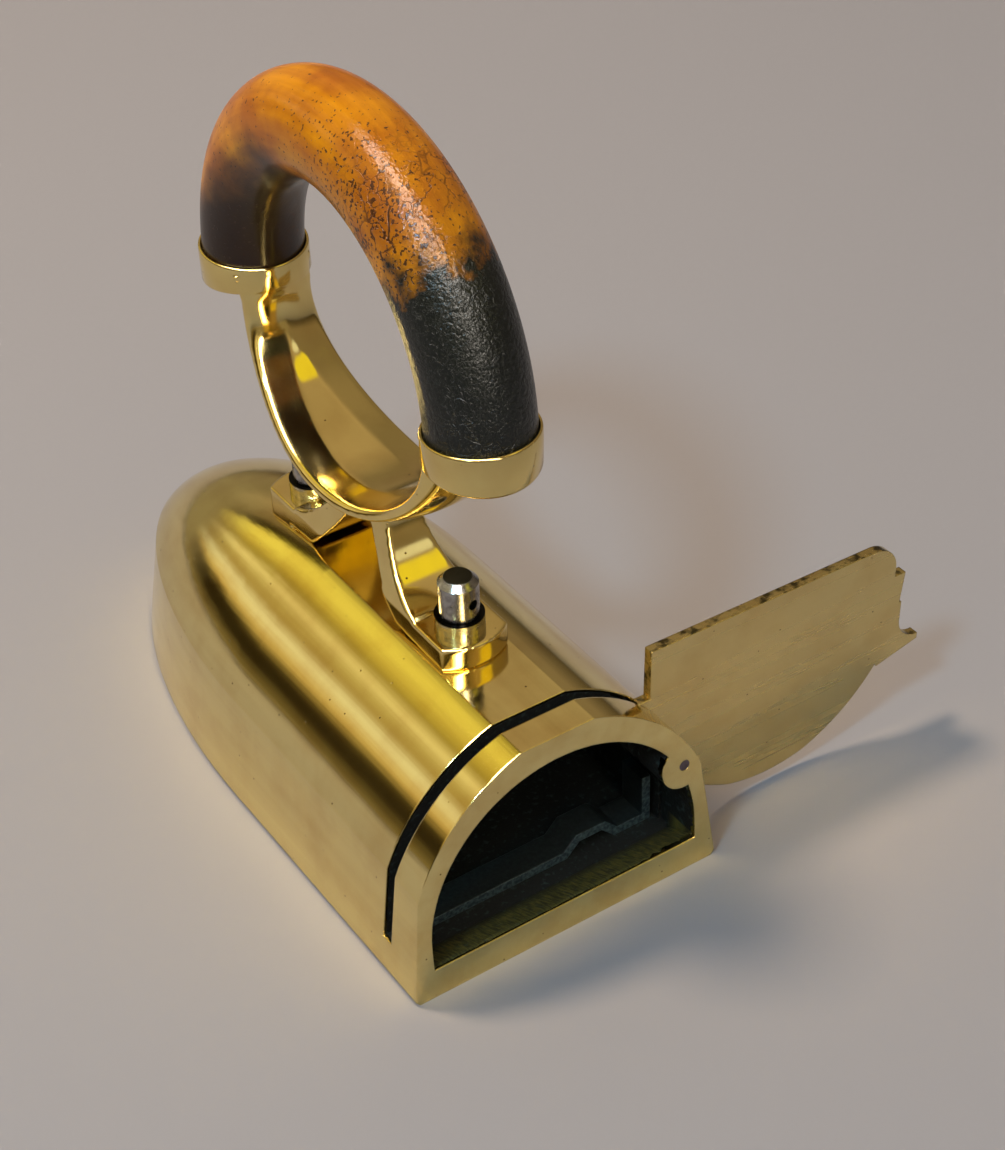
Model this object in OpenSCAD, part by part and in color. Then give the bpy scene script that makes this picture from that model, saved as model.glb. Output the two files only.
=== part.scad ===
// Box iron: a hollow cast body with a bullet nose. A hot slug goes in through the arched
// mouth at the rear, and a pivoting gate that runs in a sawn slot shuts it in. A cast
// bracket with two legs carries a bent wooden grip on the flat strip along the top.
// Sizes are in millimetres. +X is the side of the gate's pivot, +Y points to the nose and
// +Z is up. The origin is the middle of the sole's flat face.

/* [Body] */
// Length of the sole from the mouth to the tip of the nose
body_l = 196; // [185:1:210]
// Width across the sole
sole_w = 91; // [88:0.5:96]
// Height of the flat strip along the top
body_h = 61.3; // [59:0.1:63]
// Length of the straight part, from the mouth to the start of the nose
straight_l = 91; // [85:1:100]
// Inward lean of the flat sides in degrees
side_lean = 6.6; // [5:0.1:8]
// Width of the flat strip along the top
strip_w = 21; // [19:0.5:24]
// Distance of each shoulder arc's centre past the middle
shoulder_x = 5; // [4:0.1:6]
// Distance of the shoulder arcs inside the sole's edges
shoulder_inset = 0.25; // [0:0.05:0.6]
// Forward lean of the rear face in degrees
rear_rake = 3.6; // [0:0.1:5]
// Chamfer along the lower edge
sole_chamfer = 1.2; // [0.5:0.1:2]

/* [Slug chamber] */
// Thickness of the side walls, measured at the sole
side_wall = 6.1; // [5.5:0.1:7]
// Thickness of metal over the chamber's crown
crown_wall = 6.6; // [6:0.1:8]
// Height of the chamber's floor
floor_z = 3; // [2.6:0.1:3.2]
// Height of the lip at the mouth, from which a ramp runs down to the floor
lip_z = 8.6; // [7.5:0.1:9.5]
// Thickness of metal at the tip of the nose
nose_wall = 15; // [10:1:20]

/* [Slot and gate] */
// Distance from the rear edge of the sole to the slot
slot_y = 12.4; // [11:0.1:14]
// Width of the slot along the body
slot_w = 3.7; // [3.4:0.1:4.2]
// Height of the slot's end on the side away from the pivot
slot_end_z = 10.5; // [9.5:0.5:11]
// Thickness of the gate
gate_t = 2.7; // [2.2:0.1:3]
// Distance of the gate's curved edge inside the body's outline
gate_inset = 0.35; // [0.2:0.05:0.6]
// Height of the shut gate's crown above the flat strip
gate_rise = 0.7; // [0.2:0.1:1.2]
// Radius of the gate's crown
gate_crown_r = 45; // [44.5:0.5:60]
// Reach of the gate's lower part past each side of the mouth
gate_overlap = 0.4; // [0.1:0.1:0.5]
// Gap round the gate's lower part
gate_gap = 0.6; // [0.4:0.1:0.8]
// Radius of the gate's lower corner on the thumb side
gate_corner_r = 8; // [7.5:0.1:10]
// Height of the step on the thumb side
gate_step_z = 14.4; // [13.8:0.1:16]
// Height of the thumb tab's tip
tab_z = 38.6; // [36:0.1:40]
// Reach of the thumb tab past the gate's edge
tab_reach = 12.3; // [9:0.1:15]
// Angle that the gate stands open by, in degrees
open_angle = 181.3; // [180:0.1:182]

/* [Pivot] */
// Depth of the pivot pin under the shoulder arc
pin_depth = 4.05; // [3.8:0.05:4.4]
// Slope of the line from the arc's centre to the pin, in degrees
pin_slope = 25.8; // [25:0.1:26.6]
// Radius of the pivot pin
pin_r = 1.5; // [1.3:0.05:1.7]
// Running clearance round the pin in the gate
pin_gap = 0.05; // [0.02:0.01:0.09]
// Radius of the lobe that holds the pin
lobe_r = 6.8; // [6.2:0.1:7.2]
// How far the lobe and the pin go on past the slot
lobe_past_slot = 7; // [5:0.5:9]

/* [Handle bracket] */
// Distance of the grip's middle from the rear edge of the sole
grip_y = 84.8; // [83:0.1:88]
// Distance of the middle of the two feet from the rear edge of the sole
feet_y = 81.2; // [80:0.1:83]
// Width of the feet
foot_w = 19.5; // [18:0.5:20.5]
// Thickness of the feet
foot_t = 6.7; // [6:0.1:7.5]
// Distance from the middle of the feet to the round end of each foot
foot_reach = 45.5; // [44.5:0.5:47]
// Radius of the feet's round ends
foot_end_r = 15.3; // [13:0.1:18]
// Gap under the inner end of each foot
foot_relief = 1; // [0.4:0.1:1.4]
// Half width of the arch between the legs, at the foot of the arch
arch_half = 21.8; // [21:0.1:22.5]
// Height of the arch above the flat strip
arch_h = 22.7; // [21:0.1:24]
// Radius of the arch's two flared sides
flare_r = 81.4; // [76:0.2:90]
// Slope of the arch's sides at its foot, in degrees
flare_slope = 40.7; // [39:0.1:42]
// Radius of the scoop that runs up each leg from the foot's top
scoop_r = 25; // [24:0.1:26]
// Width of the legs where they meet the cradle
leg_top_w = 10.5; // [9:0.5:13]
// Half length of the cradle's inner curve
cradle_a = 38.9; // [38:0.1:40]
// Depth of the cradle's inner curve
cradle_b = 29.1; // [28:0.1:30.5]
// Distance of the cradle's ends below the grip's bend centre
cradle_drop = 7.3; // [7:0.1:8]
// Thickness of the cradle at its lowest point
cradle_t = 5; // [4:0.1:6]
// Thickness of the cradle where it meets the ferrules
cradle_end_t = 9; // [8:0.1:11]
// Width of the cradle at its lowest point
cradle_w = 31.2; // [28:0.1:34]
// Width of the cradle's ends
cradle_end_w = 19.5; // [18:0.1:21]

/* [Grip] */
// Radius of the bend of the grip
grip_r = 52.4; // [51.5:0.1:53]
// Height of the grip's bend centre above the flat strip
grip_h = 68.7; // [68:0.1:70]
// Rise of the bend above its centre
grip_rise = 53.4; // [52.5:0.1:55]
// Radius of the grip's wood
wood_r = 13.1; // [12.8:0.1:13.6]
// Radius of the ferrules
ferrule_r = 14.1; // [14:0.1:15]
// Angle of the ferrules' rims above the bend centre, in degrees
rim_angle = 3.3; // [2.5:0.1:4.5]
// Angle of the wood's ends below the bend centre, in degrees
socket_angle = 4.6; // [3.5:0.1:5]
// Angle of the ferrules' bottoms below the bend centre, in degrees
ferrule_angle = 6.6; // [6:0.1:7.5]

/* [Screws] */
// Distance between the two screws
screw_pitch = 71; // [69:0.5:73]
// Radius of the screws' shanks
shank_r = 3; // [2.5:0.1:3.4]
// Radius of the capstan heads
head_r = 5.15; // [4.9:0.05:5.5]
// Height of the capstan heads
head_h = 11.2; // [10.5:0.1:12.5]
// Chamfer at the top of the heads
head_chamfer = 1.7; // [1:0.1:2]
// Radius of the tommy hole across each head
tommy_r = 1.4; // [1.1:0.1:1.6]
// Height of the tommy hole above the head's underside
tommy_z = 4.8; // [4:0.1:6]
// Turn of the rear head's tommy hole, in degrees
rear_tommy_turn = 12; // [0:1:90]
// Turn of the front head's tommy hole, in degrees
front_tommy_turn = 70; // [0:1:90]
// Radius of the collars
collar_r = 6.35; // [6:0.05:6.8]
// Height of the collars
collar_h = 3.4; // [3:0.1:4]
// Clearance round the shanks in the feet and the collars
shank_gap = 0.2; // [0.1:0.05:0.4]
// Clearance round each collar in its seat on the foot
seat_gap = 0.3; // [0.2:0.05:0.5]
// Distance of the screws' ends above the chamber
tip_gap = 0.6; // [0.3:0.1:1.5]

/* [Slug rests] */
// Width of each iron strip along the body
rest_w = 8.5; // [6:0.5:10]
// Thickness of the iron strips
rest_t = 2.6; // [2:0.1:3]
// Height of the space under each strip's hump
rest_hump = 4; // [3:0.5:6]
// Height of each strip's upturned ends above the floor
rest_end_h = 15; // [12:0.5:17]
// Distance of each strip's hump from the middle
rest_hump_x = 19; // [15:1:21]
// Distance of the rear strip from the rear edge of the sole
rear_rest_y = 22; // [21:1:40]
// Distance of the front strip from the rear edge of the sole
front_rest_y = 78; // [65:1:85]

/* [Hidden] */
$fn = 96;
brass = "#c9a13f";
iron = "#3c4446";
steel = "#77757c";
wood = "#a9571c";

// Places along the body, measured from the origin
rear_edge = -body_l / 2;
nose_start = rear_edge + straight_l;
nose_l = body_l - straight_l;
slot_rear = rear_edge + slot_y;
slot_front = slot_rear + slot_w;
gate_rear = slot_rear + (slot_w - gate_t) / 2;
pin_front = slot_front + lobe_past_slot;
grip_mid = rear_edge + grip_y;
feet_mid = rear_edge + feet_y;
rear_screw_y = feet_mid - screw_pitch / 2;
front_screw_y = feet_mid + screw_pitch / 2;

// The body's section. Its shoulder arcs meet the strip's edges.
shoulder_r = sole_w / 2 + shoulder_x - shoulder_inset;
shoulder_z = body_h - sqrt(pow(shoulder_r, 2) - pow(shoulder_x + strip_w / 2, 2));
mouth_r = sole_w / 2 - side_wall;
crown_z = body_h - crown_wall;
mouth_z = crown_z - mouth_r;

// Places across the body and heights
gate_foot_w = mouth_r + gate_overlap;
gate_crown_z = body_h + gate_rise;
pin_x = (shoulder_r - pin_depth) * cos(pin_slope) - shoulder_x;
pin_z = (shoulder_r - pin_depth) * sin(pin_slope) + shoulder_z;
foot_top = body_h + foot_t;
collar_top = foot_top + collar_h;
arch_top = body_h + arch_h;
grip_z = body_h + grip_h;
grip_stretch = grip_rise / grip_r;
cradle_z = grip_z - cradle_drop;

// The open gate's curved edge is the shoulder arc turned about the pin. The slot's end below
// the pin is cut to the height at which that edge comes to rest on the body's side.
stop_gap = 0.08;
gate_arc_r = shoulder_r - gate_inset;
arc_dx = -shoulder_x - pin_x;
arc_dz = shoulder_z - pin_z;
open_arc_x = pin_x + arc_dx * cos(open_angle) + arc_dz * sin(open_angle);
open_arc_z = pin_z - arc_dx * sin(open_angle) + arc_dz * cos(open_angle);
function gate_edge_x(z) = sqrt(pow(gate_arc_r, 2) - pow(z - shoulder_z, 2)) - shoulder_x;
function side_x(z) = sole_w / 2 - z * tan(side_lean);
function open_edge_z(x) = open_arc_z - sqrt(pow(gate_arc_r, 2) - pow(open_arc_x - x, 2));
stop_z = open_edge_z(side_x(open_edge_z(side_x(pin_z / 2)))) - stop_gap;
stop_step_z = stop_z + 1.2;
slot_inner = gate_foot_w + gate_gap;

// The arch's flared sides have their centres out past the feet. A smaller arc, which touches
// both of them, rounds the arch's top.
flare_y = arch_half + flare_r * sin(flare_slope);
flare_z = body_h + flare_r * cos(flare_slope);
flare_rise = flare_z - arch_top;
arch_top_r = (pow(flare_rise, 2) + pow(flare_y, 2) - pow(flare_r, 2)) / (2 * (flare_r - flare_rise));
arch_top_mid = arch_top - arch_top_r;
arch_join_z = arch_top_mid + arch_top_r * (flare_z - arch_top_mid) / (flare_r + arch_top_r);

// Spare length for cuts that run out past a surface
past = 5;

// Extrudes an outline drawn in X and Z from one Y to another
module along_y(from, to) {
    translate([0, to, 0])
        rotate([90, 0, 0])
            linear_extrude(height = to - from)
                children();
}

// Sweeps half an outline, drawn in X and Z, round the front of the body
module round_nose(start, reach, half_w) {
    translate([0, start, 0])
        scale([1, reach / half_w, 1])
            rotate_extrude(angle = 180)
                intersection() {
                    children();
                    translate([0, -past])
                        square([body_l, body_l]);
                }
}

// The body's cross section, drawn in by an inset and cut off flat at the top
module body_section(inset = 0, chamfer = 0, top = body_h) {
    half = sole_w / 2 - inset;
    lean = tan(side_lean);
    intersection() {
        polygon([
            [chamfer - half, 0], [half - chamfer, 0], [half - chamfer * lean, chamfer],
            [half - top * lean, top], [top * lean - half, top], [chamfer * lean - half, chamfer]
        ]);
        shoulder(-shoulder_x, inset);
        shoulder(shoulder_x, inset);
    }
}

// One shoulder arc, with a block below its centre that leaves the flat sides as they are
module shoulder(x, inset) {
    translate([x, shoulder_z])
        circle(r = shoulder_r - inset);
    translate([-sole_w, 0])
        square([2 * sole_w, shoulder_z]);
}

// The body as a solid, without its chamber
module body_solid() {
    along_y(rear_edge, nose_start)
        body_section(chamfer = sole_chamfer);
    round_nose(nose_start, nose_l, sole_w / 2)
        body_section(chamfer = sole_chamfer);
}

// The chamber's arched cross section
module chamber_section() {
    translate([-mouth_r, floor_z])
        square([2 * mouth_r, mouth_z - floor_z]);
    intersection() {
        translate([0, mouth_z])
            circle(r = mouth_r);
        translate([-mouth_r, mouth_z])
            square([2 * mouth_r, mouth_r]);
    }
}

module chamber() {
    crown_flat = 0.1;
    along_y(rear_edge - past, nose_start)
        chamber_section();
    round_nose(nose_start, nose_l - nose_wall, mouth_r)
        intersection() {
            chamber_section();
            square([mouth_r, crown_z - crown_flat]);
        }
}

// The ramp that leads from the lip down to the floor behind the slot
module lip_ramp() {
    lip_t = 2;
    outside = rear_edge - 2 * past;
    across(3 * mouth_r)
        polygon([
            [outside, -past], [slot_rear, -past], [slot_rear, floor_z],
            [rear_edge + lip_t, lip_z], [outside, lip_z]
        ]);
}

// Extrudes an outline drawn in Y and Z to a width centred on the middle
module across(width) {
    rotate([90, 0, 90])
        linear_extrude(height = width, center = true)
            children();
}

// A cylinder along Y at the gate's pivot
module at_pivot(r, from, to) {
    translate([pin_x, to, pin_z])
        rotate([90, 0, 0])
            cylinder(r = r, h = to - from);
}

// The sawn slot, with its two ends at different heights
module slot() {
    translate([-sole_w, slot_rear, slot_end_z])
        cube([sole_w, slot_w, body_h]);
    translate([0, slot_rear, stop_z])
        cube([sole_w, slot_w, body_h]);
    translate([-slot_inner, slot_rear, floor_z])
        cube([2 * slot_inner, slot_w, body_h]);
}

// All that lies behind the leaning rear face
module behind_rear_face() {
    translate([0, rear_edge, 0])
        rotate([-rear_rake, 0, 0])
            translate([-sole_w, -body_h, -body_h])
                cube([2 * sole_w, body_h, 3 * body_h]);
}

module body_shell() {
    color(brass)
        difference() {
            body_solid();
            difference() {
                chamber();
                lip_ramp();
                at_pivot(lobe_r, rear_edge - 2 * past, pin_front);
            }
            slot();
            behind_rear_face();
            at_pivot(pin_r, rear_edge - past, pin_front - 1.5);
            screw_holes(shank_r, body_h);
        }
}

// The gate's outline as it hangs shut, drawn in X and Z
module gate_outline() {
    intersection() {
        body_section(inset = gate_inset, top = gate_crown_z + 1);
        translate([0, gate_crown_z - gate_crown_r])
            circle(r = gate_crown_r);
        union() {
            translate([-sole_w, gate_step_z])
                square([sole_w, body_h]);
            translate([0, stop_step_z])
                square([sole_w, body_h]);
        }
    }
    foot_bottom = floor_z + gate_inset;
    difference() {
        translate([-gate_foot_w, foot_bottom])
            square([2 * gate_foot_w, body_h / 2]);
        translate([-gate_foot_w, foot_bottom])
            square(gate_corner_r);
    }
    translate([gate_corner_r - gate_foot_w, foot_bottom + gate_corner_r])
        circle(r = gate_corner_r);
}

// A hooked tab for the thumb, hollowed on its lower side
module thumb_tab() {
    hollow_r = 7.3;
    blunt = 1.8;
    root_rise = 4.4;
    root_step = 1.25;
    root_z = tab_z + root_rise;
    root_x = -gate_edge_x(root_z);
    tip_x = -gate_edge_x(tab_z) - tab_reach;
    difference() {
        polygon([
            [tip_x, tab_z - blunt / 2], [tip_x, tab_z + blunt / 2], [root_x - root_step, root_z],
            [root_x + root_step, tab_z], [root_x + root_step, tab_z - 2 * hollow_r],
            [tip_x, tab_z - 2 * hollow_r]
        ]);
        translate([tip_x, tab_z - blunt / 2 - hollow_r])
            circle(r = hollow_r);
        translate([tip_x - hollow_r, tab_z - blunt / 2 - 3 * hollow_r])
            square([2 * hollow_r, 2 * hollow_r]);
    }
}

module gate() {
    color(brass)
        translate([pin_x, 0, pin_z])
            rotate([0, open_angle, 0])
                translate([-pin_x, 0, -pin_z])
                    difference() {
                        union() {
                            along_y(gate_rear, gate_rear + gate_t)
                                gate_outline();
                            along_y(gate_rear, gate_rear + gate_t)
                                thumb_tab();
                        }
                        at_pivot(pin_r + pin_gap, gate_rear - past, gate_rear + past);
                    }
}

module gate_pin() {
    color(steel)
        difference() {
            at_pivot(pin_r, rear_edge, pin_front - 1.5);
            behind_rear_face();
        }
}

// Sweeps a round bar of radius r along the bend of the grip, between two angles
// measured up from the front
module bend(r, from, to) {
    translate([0, grip_mid, grip_z])
        scale([1, 1, grip_stretch])
            rotate([90, 0, 90])
                rotate([0, 0, from])
                    rotate_extrude(angle = to - from)
                        translate([grip_r, 0])
                            circle(r = r);
}

module grip() {
    color(wood)
        bend(wood_r, -socket_angle, 180 + socket_angle);
}

// The cradle's side profile, drawn in Y and Z
module cradle_curve(a, b) {
    translate([grip_mid, cradle_z])
        scale([1, b / a])
            circle(r = a);
}

module cradle_profile() {
    outer_a = cradle_a + cradle_end_t;
    top = grip_z - cradle_a * tan(ferrule_angle);
    difference() {
        union() {
            intersection() {
                cradle_curve(outer_a, cradle_b + cradle_t);
                translate([grip_mid - outer_a, 0])
                    square([2 * outer_a, cradle_z]);
            }
            translate([grip_mid - outer_a, cradle_z - 0.01])
                square([2 * outer_a, top - cradle_z]);
        }
        cradle_curve(cradle_a, cradle_b);
        translate([grip_mid - cradle_a, cradle_z])
            square([2 * cradle_a, grip_z]);
    }
}

// The cradle is widest at its lowest point and narrows in two arcs to its ends
module cradle() {
    bulge = (cradle_w - cradle_end_w) / 2;
    arc_r = (pow(cradle_a, 2) + pow(bulge, 2)) / (2 * bulge);
    intersection() {
        across(cradle_w)
            cradle_profile();
        linear_extrude(height = 2 * grip_z)
            intersection() {
                translate([arc_r - cradle_w / 2, grip_mid])
                    circle(r = arc_r, $fn = 360);
                translate([cradle_w / 2 - arc_r, grip_mid])
                    circle(r = arc_r, $fn = 360);
            }
    }
}

// Both legs in one block, narrowed by a scoop over each foot and a long curve on each flank
module legs() {
    waist_z = foot_top + scoop_r;
    flank_start = 0.5;
    flank_h = scoop_r - flank_start;
    step = (foot_w - leg_top_w) / 2;
    flank_r = (pow(flank_h, 2) + pow(step, 2)) / (2 * step);
    leg_out = screw_pitch / 2 - collar_r - seat_gap;
    difference() {
        across(foot_w)
            difference() {
                translate([feet_mid - leg_out, body_h])
                    square([2 * leg_out, waist_z - body_h]);
                for (side = [-1, 1])
                    translate([feet_mid + side * screw_pitch / 2, waist_z])
                        circle(r = scoop_r);
                cradle_curve(cradle_a, cradle_b);
            }
        for (side = [-1, 1])
            translate([side * (leg_top_w / 2 + flank_r), feet_mid, waist_z])
                rotate([90, 0, 0])
                    cylinder(r = flank_r, h = body_l, center = true);
    }
}

// The arch between the legs, drawn in Y and Z. Its top arc is a little wider than one that
// only touches the sides, so that it cuts them cleanly.
module arch_outline() {
    lap = 0.15;
    translate([feet_mid, 0]) {
        difference() {
            translate([-arch_half, body_h - past])
                square([2 * arch_half, arch_join_z - body_h + past]);
            for (side = [-1, 1])
                translate([side * flare_y, flare_z])
                    circle(r = flare_r, $fn = 360);
        }
        translate([0, arch_top_mid])
            circle(r = arch_top_r + lap);
    }
}

// The shallow wedge that lifts the inner end of each foot off the body
module foot_reliefs() {
    run = screw_pitch / 2;
    peak = foot_relief * run / (run - arch_half);
    across(2 * foot_w)
        polygon([
            [feet_mid - run, body_h], [feet_mid, body_h - past],
            [feet_mid + run, body_h], [feet_mid, body_h + peak]
        ]);
}

// Both feet, with round outer ends
module feet() {
    for (turn = [0, 180])
        translate([0, feet_mid, body_h - foot_t / 2])
            rotate([0, 0, turn])
                linear_extrude(height = foot_t * 1.5)
                    intersection() {
                        translate([-foot_w / 2, 0])
                            square([foot_w, foot_reach]);
                        translate([0, foot_reach - foot_end_r])
                            union() {
                                circle(r = foot_end_r);
                                translate([-foot_end_r, -foot_reach])
                                    square([2 * foot_end_r, foot_reach]);
                            }
                    }
}

// The holes for the screws
module screw_holes(r, h) {
    for (y = [rear_screw_y, front_screw_y])
        translate([0, y, mouth_z])
            cylinder(r = r, h = h);
}

module ferrules() {
    difference() {
        union() {
            bend(ferrule_r, -ferrule_angle, rim_angle);
            bend(ferrule_r, 180 - rim_angle, 180 + ferrule_angle);
        }
        bend(wood_r, -socket_angle, 180 + socket_angle);
    }
}

module handle_bracket() {
    color(brass) {
        difference() {
            union() {
                feet();
                legs();
            }
            across(2 * foot_w)
                arch_outline();
            foot_reliefs();
            screw_holes(shank_r + shank_gap, foot_top);
            body_solid();
        }
        cradle();
        ferrules();
    }
}

// A steel screw with a tall capstan head, which has a hole across it for a tommy bar. Its
// shank is threaded into the body's crown.
module screw(y, turn) {
    neck = head_h - head_chamfer;
    tip_z = crown_z + tip_gap;
    color(steel)
        translate([0, y, 0])
            difference() {
                union() {
                    translate([0, 0, tip_z])
                        cylinder(r = shank_r, h = collar_top - tip_z + tommy_z / 2);
                    translate([0, 0, collar_top])
                        cylinder(r = head_r, h = neck);
                    translate([0, 0, collar_top + neck])
                        cylinder(r1 = head_r, r2 = head_r - head_chamfer, h = head_chamfer);
                }
                translate([0, 0, collar_top + tommy_z])
                    rotate([90, 0, turn])
                        cylinder(r = tommy_r, h = 4 * head_r, center = true);
            }
}

module rear_screw() {
    screw(rear_screw_y, rear_tommy_turn);
}

module front_screw() {
    screw(front_screw_y, front_tommy_turn);
}

module collar(y) {
    color(steel)
        translate([0, y, foot_top])
            difference() {
                cylinder(r = collar_r, h = collar_h);
                translate([0, 0, -past])
                    cylinder(r = shank_r + shank_gap, h = collar_h + 2 * past);
            }
}

module rear_collar() {
    collar(rear_screw_y);
}

module front_collar() {
    collar(front_screw_y);
}

// An iron strip across the floor with a hump to carry the slug and both ends turned up
module slug_rest(y) {
    end_x = mouth_r - 1.5;
    hump_top = rest_hump + rest_t;
    hump_half = 4.5;
    color(iron)
        along_y(y - rest_w / 2, y + rest_w / 2)
            translate([0, floor_z])
                difference() {
                    polygon([
                        [-end_x, 0], [end_x, 0], [end_x, rest_end_h], [end_x - rest_t, rest_end_h],
                        [end_x - rest_t, rest_t], [rest_hump_x + hump_half + rest_hump, rest_t],
                        [rest_hump_x + hump_half, hump_top], [rest_hump_x - hump_half, hump_top],
                        [rest_hump_x - hump_half - rest_hump, rest_t], [rest_t - end_x, rest_t],
                        [rest_t - end_x, rest_end_h], [-end_x, rest_end_h]
                    ]);
                    polygon([
                        [rest_hump_x - hump_half - rest_hump + 1, 0], [rest_hump_x - hump_half + 1, rest_hump],
                        [rest_hump_x + hump_half - 1, rest_hump], [rest_hump_x + hump_half + rest_hump - 1, 0],
                        [rest_hump_x, -1]
                    ]);
                }
}

module rear_slug_rest() {
    slug_rest(rear_edge + rear_rest_y);
}

module front_slug_rest() {
    slug_rest(rear_edge + front_rest_y);
}

body_shell();
rear_slug_rest();
front_slug_rest();
gate();
gate_pin();
handle_bracket();
grip();
rear_screw();
front_screw();
rear_collar();
front_collar();
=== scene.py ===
from math import cos, degrees, pi, radians, sin, tan

import bmesh
import bpy
from mathutils import Matrix, Vector


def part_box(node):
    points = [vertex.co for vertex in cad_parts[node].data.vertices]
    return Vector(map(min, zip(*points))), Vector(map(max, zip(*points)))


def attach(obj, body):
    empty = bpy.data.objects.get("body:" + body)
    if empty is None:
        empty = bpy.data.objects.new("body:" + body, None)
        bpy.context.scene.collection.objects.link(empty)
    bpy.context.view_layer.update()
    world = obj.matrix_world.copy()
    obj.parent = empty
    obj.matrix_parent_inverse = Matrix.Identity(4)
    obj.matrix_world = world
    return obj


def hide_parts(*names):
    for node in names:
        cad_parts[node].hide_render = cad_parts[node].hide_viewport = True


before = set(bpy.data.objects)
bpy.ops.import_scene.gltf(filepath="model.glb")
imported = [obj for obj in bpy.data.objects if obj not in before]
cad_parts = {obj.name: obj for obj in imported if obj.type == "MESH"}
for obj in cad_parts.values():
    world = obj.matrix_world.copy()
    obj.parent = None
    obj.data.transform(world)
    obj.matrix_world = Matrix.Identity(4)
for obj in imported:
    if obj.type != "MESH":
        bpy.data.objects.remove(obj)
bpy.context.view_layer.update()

MM = 0.001

# The iron's own measures, as the construction has them
SHOULDER_R = 50.25 * MM
SHOULDER_X = 5 * MM
SHOULDER_Z = 13.5 * MM
SIDE_LEAN = radians(6.6)
REAR_RAKE = radians(3.6)
NOSE_START_Y = -7 * MM
GRIP_Y = -13.2 * MM
GRIP_Z = 130 * MM
GRIP_R = 52.4 * MM
GRIP_STRETCH = 1.019
WOOD_R = 13.1 * MM
FERRULE_R = 14.1 * MM
RIM_ANGLE = 3.3
FERRULE_ANGLE = 6.6
CRADLE_A = 38.9 * MM
CRADLE_B = 29.1 * MM
CRADLE_Z = 122.7 * MM
CRADLE_END_W = 19.5 * MM
CRADLE_W = 31.2 * MM
WALL_GAP = CRADLE_A - (GRIP_R - FERRULE_R)
LEGS_TOP = 88.4 * MM
LEGS_FOOT = 70 * MM


def colour(code):
    """The linear colour of an sRGB hex value."""
    parts = [int(code[i:i + 2], 16) / 255 for i in (1, 3, 5)]
    return [c / 12.92 if c <= 0.04045 else ((c + 0.055) / 1.055) ** 2.4 for c in parts] + [1]


def add(tree, kind, inputs=None, **settings):
    """Adds a node, makes its settings, and fills its inputs with values or links."""
    node = tree.nodes.new("ShaderNode" + kind)
    for name, value in settings.items():
        setattr(node, name, value)
    for name, value in (inputs or {}).items():
        if isinstance(value, bpy.types.NodeSocket):
            tree.links.new(value, node.inputs[name])
        else:
            node.inputs[name].default_value = value
    return node


def per(millimetres):
    """The texture scale that repeats once in so many millimetres."""
    return 1 / (millimetres * MM)


def new_material(name):
    """An empty material with one shader, and the place of each point in the iron's frame."""
    material = bpy.data.materials.new(name)
    material.use_nodes = True
    tree = material.node_tree
    shader = tree.nodes["Principled BSDF"]
    place = add(tree, "TexCoord").outputs["Object"]
    return material, tree, shader, place


def depth_inside_body(tree, place):
    """How deep a point lies under the body's outer surface, in metres."""
    low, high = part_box("body_shell")
    half_w = high.x
    nose_l = high.y - NOSE_START_Y
    xyz = add(tree, "SeparateXYZ", {0: place})
    x, y, z = xyz.outputs
    past_nose = add(tree, "Math", {0: y, 1: NOSE_START_Y}, operation="SUBTRACT").outputs[0]
    past_nose = add(tree, "Math", {0: past_nose, 1: 0}, operation="MAXIMUM").outputs[0]
    past_nose = add(tree, "Math", {0: past_nose, 1: half_w / nose_l}, operation="MULTIPLY").outputs[0]
    flat = add(tree, "CombineXYZ", {0: x, 1: past_nose}).outputs[0]
    out = add(tree, "VectorMath", {0: flat}, operation="LENGTH").outputs["Value"]
    arc_x = add(tree, "Math", {0: out, 1: SHOULDER_X}, operation="ADD").outputs[0]
    arc_z = add(tree, "Math", {0: z, 1: SHOULDER_Z}, operation="SUBTRACT").outputs[0]
    arc_z = add(tree, "Math", {0: arc_z, 1: 0}, operation="MAXIMUM").outputs[0]
    arc = add(tree, "CombineXYZ", {0: arc_x, 1: arc_z}).outputs[0]
    arc = add(tree, "VectorMath", {0: arc}, operation="LENGTH").outputs["Value"]
    below_arc = add(tree, "Math", {0: SHOULDER_R, 1: arc}, operation="SUBTRACT").outputs[0]
    side = add(tree, "Math", {0: z, 1: -tan(SIDE_LEAN), 2: half_w}, operation="MULTIPLY_ADD").outputs[0]
    below_side = add(tree, "Math", {0: side, 1: out}, operation="SUBTRACT").outputs[0]
    below_top = add(tree, "Math", {0: high.z, 1: z}, operation="SUBTRACT").outputs[0]
    behind = add(tree, "Math", {0: z, 1: -tan(REAR_RAKE), 2: -low.y}, operation="MULTIPLY_ADD").outputs[0]
    before_rear = add(tree, "Math", {0: y, 1: behind}, operation="ADD").outputs[0]
    depth = z
    for other in (below_arc, below_side, below_top, before_rear):
        depth = add(tree, "Math", {0: depth, 1: other}, operation="MINIMUM").outputs[0]
    return depth


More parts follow.
